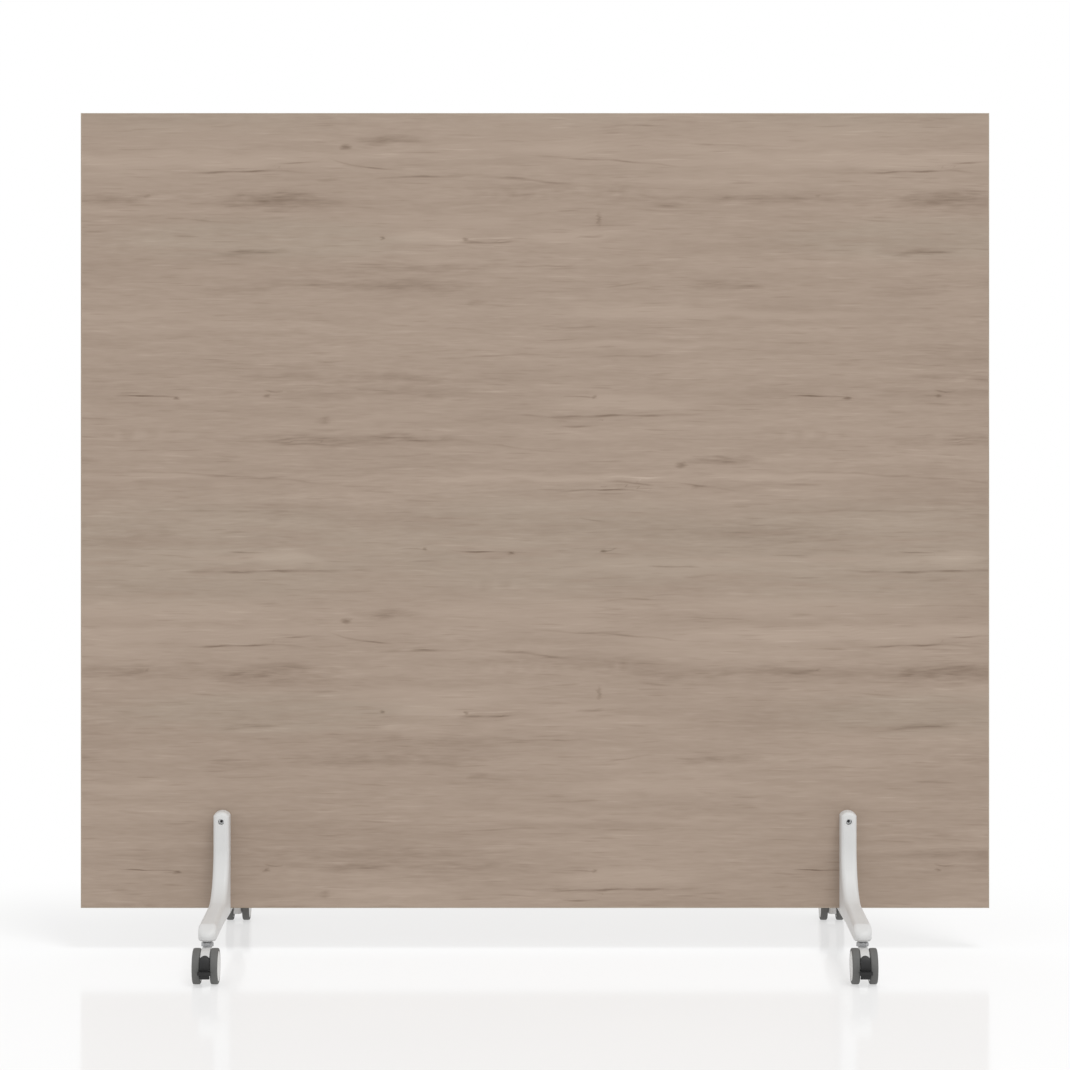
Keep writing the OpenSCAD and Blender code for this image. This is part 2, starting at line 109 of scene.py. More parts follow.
# The piece is cut by closed shells, which are removed afterwards.
def cutBy(piece, cutter, crispAngle=38):
    step = piece.modifiers.new("cut", "BOOLEAN")
    step.operation, step.solver, step.object = "DIFFERENCE", "EXACT", cutter
    bpy.context.view_layer.update()
    result = bpy.data.meshes.new_from_object(piece.evaluated_get(bpy.context.evaluated_depsgraph_get()))
    piece.modifiers.remove(step)
    old = piece.data
    piece.data = result
    result.name = old.name
    bpy.data.meshes.remove(old)
    bpy.data.objects.remove(cutter)
    result.shade_smooth()
    result.set_sharp_from_angle(angle=math.radians(crispAngle))


def dress(piece, body, slot, material, *stoodFor):
    piece.data.materials.clear()
    piece.data.materials.append(material)
    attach(piece, body)
    if stoodFor:
        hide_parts(*stoodFor)


def feed(tree, socket, value):
    if isinstance(value, bpy.types.NodeSocket):
        tree.links.new(value, socket)
    else:
        socket.default_value = value


def calc(tree, operation, *values):
    made = tree.nodes.new("ShaderNodeMath")
    made.operation = operation
    for socket, value in zip(made.inputs, values):
        feed(tree, socket, value)
    return made.outputs[0]


def vector(tree, x, y, z):
    made = tree.nodes.new("ShaderNodeCombineXYZ")
    for socket, value in zip(made.inputs, (x, y, z)):
        feed(tree, socket, value)
    return made.outputs[0]


def noise(tree, coords, scale=1.0, detail=2.0, rough=0.5):
    made = tree.nodes.new("ShaderNodeTexNoise")
    feed(tree, made.inputs["Vector"], coords)
    made.inputs["Scale"].default_value = scale
    made.inputs["Detail"].default_value = detail
    made.inputs["Roughness"].default_value = rough
    return made.outputs[0]


# Noise on a plane whose two directions have their own number of cycles in a metre.
def grain(tree, along, across, cyclesAlong, cyclesAcross, seed, detail=2.0, rough=0.5):
    place = vector(tree, calc(tree, "MULTIPLY", along, cyclesAlong), seed,
                   calc(tree, "MULTIPLY", across, cyclesAcross))
    return noise(tree, place, 1.0, detail, rough)


def remap(tree, value, low, high, newLow=0.0, newHigh=1.0, smooth=False):
    made = tree.nodes.new("ShaderNodeMapRange")
    made.clamp = True
    if smooth:
        made.interpolation_type = "SMOOTHSTEP"
    for socket, item in zip(made.inputs[:5], (value, low, high, newLow, newHigh)):
        feed(tree, socket, item)
    return made.outputs[0]


def mixColour(tree, share, first, second, blend="MIX"):
    made = tree.nodes.new("ShaderNodeMix")
    made.data_type, made.blend_type = "RGBA", blend
    feed(tree, made.inputs[0], share)
    feed(tree, made.inputs[6], first)
    feed(tree, made.inputs[7], second)
    return made.outputs[2]


def ramp(tree, value, stops):
    made = tree.nodes.new("ShaderNodeValToRGB")
    feed(tree, made.inputs[0], value)
    elements = made.color_ramp.elements
    for element, (place, colour) in zip((elements[0], elements[1]), (stops[0], stops[-1])):
        element.position, element.color = place, colour
    for place, colour in stops[1:-1]:
        elements.new(place).color = colour
    return made.outputs[0]


def bump(tree, height, strength, distance):
    made = tree.nodes.new("ShaderNodeBump")
    made.inputs["Strength"].default_value = strength
    made.inputs["Distance"].default_value = distance
    feed(tree, made.inputs["Height"], height)
    return made.outputs[0]


# Screen colour of 0 to 255 as the linear colour that a shader takes.
def tint(red, green, blue):
    value = np.array([red, green, blue]) / 255
    linear = np.where(value <= 0.04045, value / 12.92, ((value + 0.055) / 1.055) ** 2.4)
    return (*linear.tolist(), 1.0)


def newFinish(name, roughness, metallic=0.0, specular=0.5):
    material = bpy.data.materials.new(name)
    material.use_nodes = True
    tree = material.node_tree
    shader = tree.nodes["Principled BSDF"]
    shader.inputs["Roughness"].default_value = roughness
    shader.inputs["Metallic"].default_value = metallic
    shader.inputs["Specular IOR Level"].default_value = specular
    place = tree.nodes.new("ShaderNodeTexCoord").outputs["Object"]
    return material, tree, shader, place


# The print's marks, in metres along the board from its middle and above the floor, with half lengths and
# half widths in metres and tones in steps of screen brightness. The print repeats both ways.
oakDecor = {
    "repeat": (1.1815, 0.8347), "cell": (-0.7994, 0.6415),
    "base": (164.3, 146.4, 131.5), "olive": (0.982, 1.004, 1.003),
    # cycles in a metre along and across, seed, detail, brightness steps
    "grain": [(1.8, 26.0, 40.9, 3, 10.5), (9.0, 95.0, 5.5, 3, 7.6), (30.0, 250.0, 7.9, 2, 7.0)],
    # cycles along and across, seed, threshold, brightness steps
    "dashes": [(12.0, 200.0, 61.0, 0.62, -11.5), (10.0, 190.0, 73.0, 0.62, 7.5)],
    "dashSoft": 0.14,
    # the growth lines' ripple: cycles along and up, seed, detail, metres up
    "ripple": (6.0, 18.0, 9.7, 1, 0.006),
    # the knots' frayed rims: cycles along and up, seed, detail, metres along and up
    "fray": (60.0, 240.0, 51.0, 1, 0.016, 0.005),
    # two slow waves that bend each mark: metres high, radians in a metre
    "sway": ((0.0010, 31.9), (0.0007, 74.4)), "swayShift": 60,
    # the printed sheet's own grid in metres
    "gridAcross": 0.0030, "gridAlong": 0.0107,
    # what the listed tones and half widths are multiplied by; spots are stronger between fibres than on them
    "lineForce": 2.2, "lineWide": 1.1, "knotForce": 0.85, "betweenFibres": 1.7, "onFibres": 0.3,
    # how far pores fray a thin line, in half widths
    "lineFray": 1.6,
    # how much more than a streak a spot and a row of arcs sway, and how soon an olive zone is at its full tone
    "spotSway": 2.5, "arcSway": 3, "oliveForce": 2.2,
    # spots are uneven: share, and radians in a metre up, along and along again, with their shifts
    "ragged": {"share": 0.25, "up": 900, "bend": 3, "bendAlong": 23, "along": 37, "shift": 90},
    # streaks fade in and out along their length: least share, swing, radians in a metre along, shift
    "uneven": {"least": 0.8, "swing": 0.35, "along": 85, "shift": 50},
    # every mark starts with its place along and up, its half length and its half width; then come
    # the steps for a spot or knot, steps, slope and bow for a streak, steps, spacing and sweep for arcs
    "spots": [
        (-0.59, 1.3263, 0.3258, 0.0176, -4.9), (-0.449, 1.321, 0.1409, 0.0247, -10.1),
        (-0.757, 1.3281, 0.088, 0.0141, -5.5), (-0.255, 1.4267, 0.0792, 0.0123, -9.6),
        (0.238, 1.3228, 0.2113, 0.0123, -5.5), (-0.498, 1.2312, 0.0775, 0.007, -11.4),
        (-0.185, 1.2048, 0.2113, 0.007, -5.6), (-0.273, 1.1731, 0.2817, 0.0141, -7.9),
        (-0.255, 1.1696, 0.088, 0.0158, -3.1), (-0.097, 1.1397, 0.0916, 0.0106, -0.9),
        (0.335, 1.1714, 0.1092, 0.0123, -7.5), (-0.326, 1.0076, 0.317, 0.0123, -6.2),
        (-0.238, 0.9847, 0.2817, 0.0106, -7.2), (-0.361, 0.9002, 0.2817, 0.0158, -7.8),
        (-0.238, 0.9037, 0.088, 0.0106, -3.1), (0.329, 0.8632, 0.0951, 0.0106, -14.1),
        (-0.748, 0.7382, 0.1937, 0.0317, -3.7), (0.185, 0.7417, 0.2641, 0.0247, -2.5),
        (-0.097, 0.7083, 0.1057, 0.0088, 1.3), (-0.775, 1.2436, 0.0968, 0.0458, -1.8),
        (-0.519, 1.1643, 0.1057, 0.0123, -4.5), (0.044, 1.3404, 0.2465, 0.0158, -4.3),
        (-0.59, 1.3932, 0.3698, 0.0211, 8.1), (-0.238, 1.4003, 0.2113, 0.0106, 2.8),
        (0.22, 1.4073, 0.2641, 0.0352, 6.5), (-0.185, 1.2559, 0.0916, 0.0141, 6.8),
        (-0.097, 1.2805, 0.0916, 0.0088, 1.7), (0.062, 1.2594, 0.1092, 0.0158, 5.8),
        (0.15, 1.24, 0.1497, 0.0106, 3.7), (0.22, 1.1238, 0.2465, 0.0158, 5.4), (0.15, 1.0675, 0.317, 0.0088, 6.1),
        (0.167, 0.9653, 0.1761, 0.0194, 8.5), (-0.255, 0.9372, 0.1409, 0.0106, 5.2),
        (-0.696, 0.835, 0.1761, 0.0106, 6.8), (-0.238, 0.8333, 0.2289, 0.007, 5),
        (0.062, 0.8333, 0.2641, 0.0088, 7.1), (0.34, 0.8333, 0.1092, 0.0088, 4), (-0.59, 0.6924, 0.3698, 0.0106, 5.1),
        (-0.44, 0.6889, 0.0704, 0.0229, 6.3), (0.203, 0.6766, 0.317, 0.0194, 4.3),
        (-0.731, 1.1203, 0.1585, 0.0106, 4.2), (-0.523, 1.3281, 0.0176, 0.0106, -6.4),
        (-0.708, 1.3281, 0.0317, 0.0053, -7.6), (0.097, 1.2594, 0.0282, 0.0035, -18.7),
        (0.315, 1.1714, 0.0247, 0.0053, -9.1), (-0.1, 1.1414, 0.0247, 0.007, -8.3),
        (-0.37, 0.9354, 0.0141, 0.0088, -12), (0.338, 1.321, 0.0158, 0.007, -8.4), (0.239, 1.3175, 0.0282, 0.007, -6),
        (0.287, 0.8209, 0.0123, 0.0053, -14.6), (-0.241, 0.9037, 0.0423, 0.007, -9.1),
        (0.338, 0.8632, 0.0158, 0.0088, -6.2), (-0.264, 1.4232, 0.0352, 0.007, -9), (-0.37, 1.05, 0.3, 0.09, -1.9),
        (-0.27, 0.8, 0.3, 0.075, -2.3), (-0.67, 1.437, 0.3, 0.03, 4.4), (-0.56, 0.985, 0.5, 0.038, -1.9),
        (-0.02, 1.433, 0.2, 0.055, 3.5), (0.34, 1.371, 0.24, 0.045, 3.3), (-0.57, 0.75, 0.3, 0.06, -1.1),
        (-0.2, 1.28, 0.22, 0.028, 4.5), (-0.59, 1.248, 0.25, 0.04, -1.4), (0.25, 1.412, 0.22, 0.028, -4),
        (-0.12, 0.99, 0.2, 0.06, -1.4), (-0.25, 0.725, 0.24, 0.06, -0.7), (-0.27, 1.199, 0.26, 0.026, -3.5)],
    "streaks": [
        (-0.519, 1.3736, 0.1418, 0.0023, -14.1, 0.014, -0.315), (-0.416, 1.388, 0.0476, 0.0021, -12, 0.063, 0),
        (-0.298, 1.3803, 0.0729, 0.0021, -12.3, -0.166, 1.629), (0.132, 1.3922, 0.1823, 0.0023, -9.8, -0.072, -0.02),
        (0.187, 1.4543, 0.083, 0.0021, -7.3, 0.024, -0.581), (0.319, 1.4205, 0.0729, 0.0021, -6.4, -0.055, -0.376),
        (-0.711, 1.2936, 0.1033, 0.0025, -2.4, 0, 0.218), (-0.571, 1.2861, 0.0628, 0.0021, -6, -0.081, 0),
        (-0.469, 1.3014, 0.1083, 0.0021, -3.2, 0, 0), (0.239, 1.3044, 0.164, 0.0028, -3, -0.012, 0.013),
        (0.05, 1.3044, 0.078, 0.0021, -5.6, 0.104, -0.329), (-0.085, 1.2468, 0.0587, 0.0021, -21, 0, 1.161),
        (-0.485, 1.2304, 0.0759, 0.0023, -5.5, 0.013, -0.694), (-0.183, 1.1981, 0.1438, 0.0028, -2.7, -0.021, 0.08),
        (0.002, 1.2302, 0.0729, 0.0021, -3.7, 0, 0.753), (0.019, 1.2066, 0.083, 0.0021, -8.7, 0.024, 0),
        (0.163, 1.1735, 0.0496, 0.0021, -8.3, 0.184, 0.266), (-0.073, 1.1371, 0.0577, 0.0025, -3.8, -0.071, 0.601),
        (0.077, 1.0992, 0.0476, 0.0021, -9.9, 0, 0), (-0.458, 0.9839, 0.0223, 0.0021, -19, 0.003, 8.044),
        (0.13, 0.7049, 0.0223, 0.0019, -9.3, 0.226, 8.044), (-0.568, 0.7757, 0.2683, 0.0025, -4.6, 0.004, -0.125),
        (-0.541, 0.8371, 0.2987, 0.0025, -5.9, -0.06, -0.112), (-0.273, 0.9039, 0.0506, 0.0032, -3, -0.12, -0.781),
        (-0.405, 0.8921, 0.0749, 0.0025, -7.7, 0.013, 0), (-0.408, 0.9028, 0.084, 0.0021, -7.7, 0.06, -0.283),
        (0.123, 0.8125, 0.0952, 0.0021, -17.7, -0.01, -0.514), (0.17, 0.8235, 0.0476, 0.0021, -14.6, -0.064, 0),
        (0.296, 0.8194, 0.0709, 0.0026, -7.7, -0.156, -0.595), (0.079, 0.9236, 0.0405, 0.0021, -12, 0.001, 2.439),
        (-0.022, 0.8847, 0.1671, 0.0025, -3.8, -0.103, 0.406), (-0.509, 0.702, 0.0365, 0.0018, -19.5, -0.055, 1.501),
        (0.078, 0.9779, 0.0354, 0.0016, -15.8, -0.056, -3.192),
        (0.244, 0.6783, 0.0577, 0.0021, -16.2, -0.017, -0.601), (0.104, 0.7584, 0.0324, 0.0021, -8.4, -0.219, 0),
        (-0.075, 1.0481, 0.1367, 0.0021, -6.6, 0.037, 0), (0.158, 1.047, 0.0952, 0.0021, -5.4, 0.022, 0.441),
        (-0.359, 1.0383, 0.0385, 0.0023, -7.4, 0.027, 2.699), (-0.482, 1.0319, 0.1235, 0.0021, -3, -0.073, 0),
        (-0.215, 0.7091, 0.0304, 0.0018, -15, 0, -4.328), (0.338, 0.8686, 0.0506, 0.0032, -6.3, -0.139, -1.562),
        (-0.435, 1.3233, 0.0405, 0.0028, -4.1, 0.025, 0), (-0.687, 1.2181, 0.0506, 0.0021, -3.4, -0.08, 0.781),
        (-0.079, 1.2554, 0.1013, 0.0018, 6.6, 0.021, -0.291), (0.185, 0.8336, 0.081, 0.0021, 8.1, 0.012, 0.61),
        (-0.681, 0.9777, 0.0648, 0.0018, -21.7, -0.046, -0.476),
        (-0.097, 0.7029, 0.0689, 0.0019, -18.1, -0.044, 0.843),
        (-0.194, 1.3641, 0.1114, 0.0028, -11.9, 0.036, -0.188),
        (-0.007, 1.3578, 0.1235, 0.0028, -9.9, -0.082, -0.153), (-0.19, 0.8993, 0.0729, 0.0025, -8, 0.028, 0.438),
        (0.185, 1.3323, 0.1053, 0.0026, -1.8, -0.193, 0.059), (0.129, 0.9423, 0.2126, 0.0028, -13.2, 0.01, 0.096),
        (-0.477, 0.6684, 0.2349, 0.003, -11.2, 0.008, 0.078)],
    "arcs": [
        (-0.0259, 1.3334, 0.1937, 0.0229, 2.7, 0.0299, 0.05), (0.1415, 1.3351, 0.0423, 0.0247, 3.8, 0.0221, 0.02),
        (-0.6945, 0.909, 0.0986, 0.0158, 5.2, 0.036, 0.02), (-0.0709, 0.6449, 0.081, 0.0158, 4.4, 0.0329, 0.005)],
    "hues": [
        (-0.475, 1.2524, 0.3786, 0.0528), (-0.59, 0.705, 0.55, 0.13), (0.044, 0.715, 0.52, 0.13)],
    "knots": [
        (-0.333, 1.4161, 0.0123, 0.0063, -35.7), (-0.481, 1.3193, 0.0194, 0.007, -12.5),
        (-0.683, 1.3298, 0.0046, 0.0042, -12.8), (-0.269, 1.2559, 0.007, 0.0039, -36),
        (-0.122, 1.2541, 0.0062, 0.0046, -30.6), (0.113, 1.2893, 0.0056, 0.0158, -21.2),
        (-0.63, 0.9741, 0.0088, 0.0039, -34.7), (-0.472, 0.9777, 0.0079, 0.0039, -26.5),
        (0.104, 0.9759, 0.0056, 0.0039, -24.6), (-0.042, 0.7012, 0.0097, 0.0039, -36),
        (0.12, 0.7047, 0.0074, 0.0035, -36), (-0.194, 0.7083, 0.0046, 0.0042, -28),
        (0.257, 0.8562, 0.0123, 0.0067, -32.9)],
}


# The way from a mark's middle to each point, measured to its nearest copy in the repeating print.
def nearest(value, middle, length):
    return (value - middle + length / 2) % length - length / 2


# Smooth fall from one in a mark's middle to nothing on its ellipse; a mark thinner than the grid is
# widened to it and paled by as much.
def fade(away, above, halfLong, halfWide, least, core=0.0):
    wide = max(halfWide, least)
    reach = np.clip((np.hypot(away / halfLong, above / wide) - core) / (1 - core), 0, 1)
    return (1 - reach * reach * (3 - 2 * reach)) * halfWide / wide


# The slower marks at points on the sheet. Soft spots and rows of arcs, which are a cosine along the board
# shifted by the square of the height, give brightness steps; olive zones give a share. A bent thin streak
# gives its steps and the height above its middle line in half widths, which the material turns into a
# line much thinner than the grid.
def printMarks(along, up, decor):
    repeatX, repeatZ = decor["repeat"]
    least, near = decor["gridAcross"] * 1.1, decor["gridAcross"] * 2.2
    tone, olive, line = (np.zeros(along.shape) for _ in range(3))
    height, closest = np.full(along.shape, 9.0), np.full(along.shape, 1.0)
    (swayHigh, swayTurn), (quickHigh, quickTurn) = decor["sway"]
    sway = swayHigh * np.sin(along * swayTurn) + quickHigh * np.sin(along * quickTurn + up * decor["swayShift"])
    ragged, uneven = decor["ragged"], decor["uneven"]
    for x, z, halfLong, halfWide, steps in decor["spots"]:
        away, above = nearest(along, x, repeatX), nearest(up, z, repeatZ) + decor["spotSway"] * sway
        bend = ragged["bend"] * np.sin(along * ragged["bendAlong"])
        patchy = 1 + (ragged["share"] * np.sin(above * ragged["up"] + bend)
                      * np.sin(along * ragged["along"] + z * ragged["shift"]))
        tone += steps * patchy * fade(away, above, halfLong, halfWide, least, 0.35)
    for x, z, halfLong, halfWide, steps, slope, bow in decor["streaks"]:
        away = nearest(along, x, repeatX)
        above = nearest(up, z, repeatZ) - away * (slope + bow * away) + sway
        mine = (np.abs(above) < closest) & (np.abs(away) < halfLong)
        closest = np.where(mine, np.abs(above), closest)
        height = np.where(mine, above / (decor["lineWide"] * halfWide), height)
        swing = uneven["swing"] * np.sin(along * uneven["along"] + z * uneven["shift"])
        force = decor["lineForce"] * steps * (uneven["least"] + swing)
        line = np.where(mine, np.where(np.abs(above) < near, force * fade(away, 0, halfLong, 1, 0), 0), line)
    for x, z, halfLong, halfWide, steps, spacing, sweep in decor["arcs"]:
        away, above = nearest(along, x, repeatX), nearest(up, z, repeatZ)
        phase = (away + sweep * (above / halfWide) ** 2 + decor["arcSway"] * sway) / spacing
        tone += steps * np.cos(2 * np.pi * phase) * fade(away, above, halfLong, halfWide, least)
    for x, z, halfLong, halfWide in decor["hues"]:
        olive = np.maximum(olive, fade(nearest(along, x, repeatX), nearest(up, z, repeatZ), halfLong, halfWide, least))
    return {"printTone": tone, "printOlive": np.clip(olive * decor["oliveForce"], 0, 1),
            "printLine": line, "printHeight": height}


# The laminate's sheet is a grid fine enough to carry the print's marks on its points; its rim turns
# back to the core. The CAD sheet's own box gives its size.
def laminateSheet(name, outward):
    low, high = (np.array(corner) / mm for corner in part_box(name))
    columns = round((high[0] - low[0]) / (oakDecor["gridAlong"] / mm)) + 1
    rows = round((high[2] - low[2]) / (oakDecor["gridAcross"] / mm)) + 1
    face, back = (low[1], high[1]) if outward < 0 else (high[1], low[1])
    x = np.pad(np.linspace(low[0], high[0], columns), 1, "edge")
    z = np.pad(np.linspace(low[2], high[2], rows), 1, "edge")
    grid = np.stack(np.broadcast_arrays(x[None, :], np.full((1, 1), face), z[:, None]), -1)
    grid[[0, -1], :, 1] = back
    grid[:, [0, -1], 1] = back
    sheet = meshPiece(name + "_sheet", [(grid, False, False)])
    places = np.empty(len(sheet.data.vertices) * 3)
    sheet.data.vertices.foreach_get("co", places)
    for key, values in printMarks(places[0::3] * -outward, places[2::3], oakDecor).items():
        sheet.data.attributes.new(key, "FLOAT", "POINT").data.foreach_set("value", values.astype(np.float32))
    return sheet


def vectorCalc(tree, operation, *values):
    made = tree.nodes.new("ShaderNodeVectorMath")
    made.operation = operation
    for socket, value in zip(made.inputs, values):
        feed(tree, socket, value)
    return made.outputs["Value"] if operation == "LENGTH" else made.outputs["Vector"]


def split(tree, value):
    made = tree.nodes.new("ShaderNodeSeparateXYZ")
    feed(tree, made.inputs[0], value)
    return made.outputs


def ownValue(tree, key):
    made = tree.nodes.new("ShaderNodeAttribute")
    made.attribute_name = key
    return made.outputs["Fac"]


# Brightness steps above or below the decor's mean. Knots are too small for the sheet's grid, so they are
# worked out here one after another; the tone so far travels in the place's middle coordinate, which a
# flat print doesn't need.
def oakPattern(tree, place, mirror, decor):
    repeatX, repeatZ = decor["repeat"]
    along, _, up = split(tree, place)
    along = calc(tree, "MULTIPLY", along, mirror)
    ripple = calc(tree, "SUBTRACT", grain(tree, along, up, *decor["ripple"][:4]), 0.5)
    across = calc(tree, "MULTIPLY_ADD", ripple, decor["ripple"][4], up)
    clouds = [grain(tree, along, across, *item[:4]) for item in decor["grain"]]
    fibres = calc(tree, "ADD", calc(tree, "MULTIPLY", clouds[1], 0.5), calc(tree, "MULTIPLY", clouds[2], 0.5))
    spotShare = remap(tree, fibres, 0.3, 0.7, decor["betweenFibres"], decor["onFibres"])
    tone = calc(tree, "MULTIPLY", ownValue(tree, "printTone"), spotShare)
    pores = calc(tree, "SUBTRACT", clouds[2], 0.5)
    ragged = calc(tree, "MULTIPLY_ADD", pores, decor["lineFray"], ownValue(tree, "printHeight"))
    inLine = remap(tree, calc(tree, "ABSOLUTE", ragged), 0.1, 1.0, 1.0, 0.0, True)
    tone = calc(tree, "MULTIPLY_ADD", ownValue(tree, "printLine"), inLine, tone)
    for cloud, item in zip(clouds, decor["grain"]):
        tone = calc(tree, "MULTIPLY_ADD", calc(tree, "SUBTRACT", cloud, 0.5), 2 * item[4], tone)
    for cyclesAlong, cyclesUp, seed, start, steps in decor["dashes"]:
        dash = grain(tree, along, across, cyclesAlong, cyclesUp, seed, 1)
        tone = calc(tree, "ADD", tone, remap(tree, dash, start, start + decor["dashSoft"], 0.0, steps))
    fray = calc(tree, "SUBTRACT", grain(tree, along, up, *decor["fray"][:4]), 0.5)
    state = vector(tree, calc(tree, "MULTIPLY_ADD", fray, decor["fray"][4], along), tone,
                   calc(tree, "MULTIPLY_ADD", fray, decor["fray"][5], up))
    state = vectorCalc(tree, "WRAP", state, (decor["cell"][0] + repeatX, 1000, decor["cell"][1] + repeatZ),
                       (decor["cell"][0], -1000, decor["cell"][1]))
    for x, z, halfLong, halfWide, steps in decor["knots"]:
        away = vectorCalc(tree, "MULTIPLY_ADD", state, (1 / halfLong, 0, 1 / halfWide),
                          (-x / halfLong, 0, -z / halfWide))
        mark = remap(tree, vectorCalc(tree, "LENGTH", away), 0.1, 1.1, decor["knotForce"] * steps, 0.0, True)
        state = vectorCalc(tree, "MULTIPLY_ADD", (0, 1, 0), mark, state)
    return split(tree, state)[1], clouds[1]


# One brightness step adds about the same to red, green and blue. The colour ramp holds the tones from the
# darkest to the lightest step.
def oakFinish(name, mirror):
    darkest, lightest, parts = -56, 24, 8
    material, tree, shader, place = newFinish(name, 0.55, 0.0, 0.25)
    tone, streaks = oakPattern(tree, place, mirror, oakDecor)
    base = np.array(oakDecor["base"])
    stops = [(k / parts, tint(*np.clip(base + darkest + (lightest - darkest) / parts * k, 20, 255)))
             for k in range(parts + 1)]
    plain = ramp(tree, remap(tree, tone, darkest, lightest), stops)
    green = mixColour(tree, calc(tree, "MULTIPLY", ownValue(tree, "printOlive"), remap(tree, streaks, 0.25, 0.5)),
                      (1, 1, 1, 1), (*oakDecor["olive"], 1))
    feed(tree, shader.inputs["Base Color"], mixColour(tree, 1.0, plain, green, "MULTIPLY"))
    feed(tree, shader.inputs["Normal"], bump(tree, streaks, 0.25, 0.0003))
    return material


print("oak decor")
for name, outward in (("front_laminate", -1), ("rear_laminate", 1)):
    dress(laminateSheet(name, outward), "divider", "oak_decor", oakFinish(name + "_oak", -outward), name)


powderCoat = {"first": (209, 209, 208), "second": (215, 215, 214),
              "roughness": 0.48, "smoother": 0.04, "rougher": 0.06,
              "pebbles": 900.0, "clouds": 22.0, "depth": 0.12}


# A fine pebbled coat, a shade lighter in some places than in others.
def powderFinish(s):
    material, tree, shader, place = newFinish("whitePowderCoat", s["roughness"], 0.0, 0.45)
    pebbles = noise(tree, place, s["pebbles"], 2.0, 0.5)
    cloud = noise(tree, place, s["clouds"], 2.0, 0.5)
    feed(tree, shader.inputs["Base Color"], mixColour(tree, cloud, tint(*s["first"]), tint(*s["second"])))
    feed(tree, shader.inputs["Roughness"],
         remap(tree, pebbles, 0.3, 0.7, s["roughness"] - s["smoother"], s["roughness"] + s["rougher"]))
    feed(tree, shader.inputs["Normal"], bump(tree, pebbles, s["depth"], 0.0002))
    return material


# Moulded plastic or rubber between two screen colours, with the fine texture of its mould.
def mouldedFinish(name, first, second, roughness, pebbleScale=1400.0, depth=0.1):
    material, tree, shader, place = newFinish(name, roughness, 0.0, 0.45)
    pebbles = noise(tree, place, pebbleScale, 2.0, 0.55)
    cloud = noise(tree, place, 45.0, 3.0, 0.5)
    feed(tree, shader.inputs["Base Color"], mixColour(tree, cloud, tint(*first), tint(*second)))
    feed(tree, shader.inputs["Roughness"], remap(tree, pebbles, 0.3, 0.7, roughness - 0.05, roughness + 0.06))
    feed(tree, shader.inputs["Normal"], bump(tree, pebbles, depth, 0.0001))
    return material


# Zinc-plated screw whose hexagon socket is painted dark as shade: within the socket's radius of the screw's axis the
# colour turns near black and loses its metal, a painted shade for the socket's recess.
def screwFinish(name, socketR, axisX, axisZ, metallic=0.4):
    material, tree, shader, place = newFinish(name, 0.42, metallic, 0.5)
    alongX, _, up = split(tree, place)
    aside = calc(tree, "SUBTRACT", calc(tree, "ABSOLUTE", alongX), axisX)
    away = vectorCalc(tree, "LENGTH", vector(tree, aside, 0.0, calc(tree, "SUBTRACT", up, axisZ)))
    # painted shade: the socket's hollow is coloured near black and made non-metallic to stand in for the shadow inside
    # it
    paintedSocketShade = remap(tree, away, socketR * 0.96, socketR, 1.0, 0.0)
    wear = noise(tree, place, 900.0, 2.0, 0.5)
    plate = mixColour(tree, wear, tint(236, 236, 237), tint(222, 223, 224))
    feed(tree, shader.inputs["Base Color"], mixColour(tree, paintedSocketShade, plate, tint(30, 30, 31)))
    feed(tree, shader.inputs["Metallic"], calc(tree, "MULTIPLY_ADD", paintedSocketShade, -metallic, metallic))
    feed(tree, shader.inputs["Normal"], bump(tree, wear, 0.05, 0.00005))
    return material


# Drawn or plated metal between two screen colours, its sheen broken by very fine noise.
def metalFinish(name, first, second, roughness, metallic=1.0):
    material, tree, shader, place = newFinish(name, roughness, metallic, 0.5)
    lines = noise(tree, place, 2600.0, 2.0, 0.6)
    cloud = noise(tree, place, 60.0, 2.0, 0.5)
    feed(tree, shader.inputs["Base Color"], mixColour(tree, cloud, tint(*first), tint(*second)))
    feed(tree, shader.inputs["Roughness"], remap(tree, lines, 0.3, 0.7, roughness - 0.07, roughness + 0.08))
    feed(tree, shader.inputs["Normal"], bump(tree, lines, 0.06, 0.00005))
    return material


powderWhite = powderFinish(powderCoat)
zincSteel = metalFinish("zincSteel", (184, 185, 186), (168, 169, 171), 0.46, 0.55)
blackSteel = metalFinish("blackSteel", (64, 64, 66), (52, 52, 54), 0.42)
clampZinc = screwFinish("clampZinc", 0.0026, 0.55, 0.232)
hoodGrey = mouldedFinish("hoodGrey", (205, 205, 204), (199, 199, 198), 0.45)
hubGrey = mouldedFinish("hubGrey", (219, 219, 217), (213, 213, 212), 0.42)
tyreGrey = mouldedFinish("tyreGrey", (103, 103, 101), (94, 94, 93), 0.72, 700.0, 0.2)
pedalBlack = mouldedFinish("pedalBlack", (27, 27, 28), (20, 20, 21), 0.55)
chipboard = mouldedFinish("chipboard", (190, 160, 118), (150, 118, 80), 0.85, 500.0, 0.4)
print("finishes made")


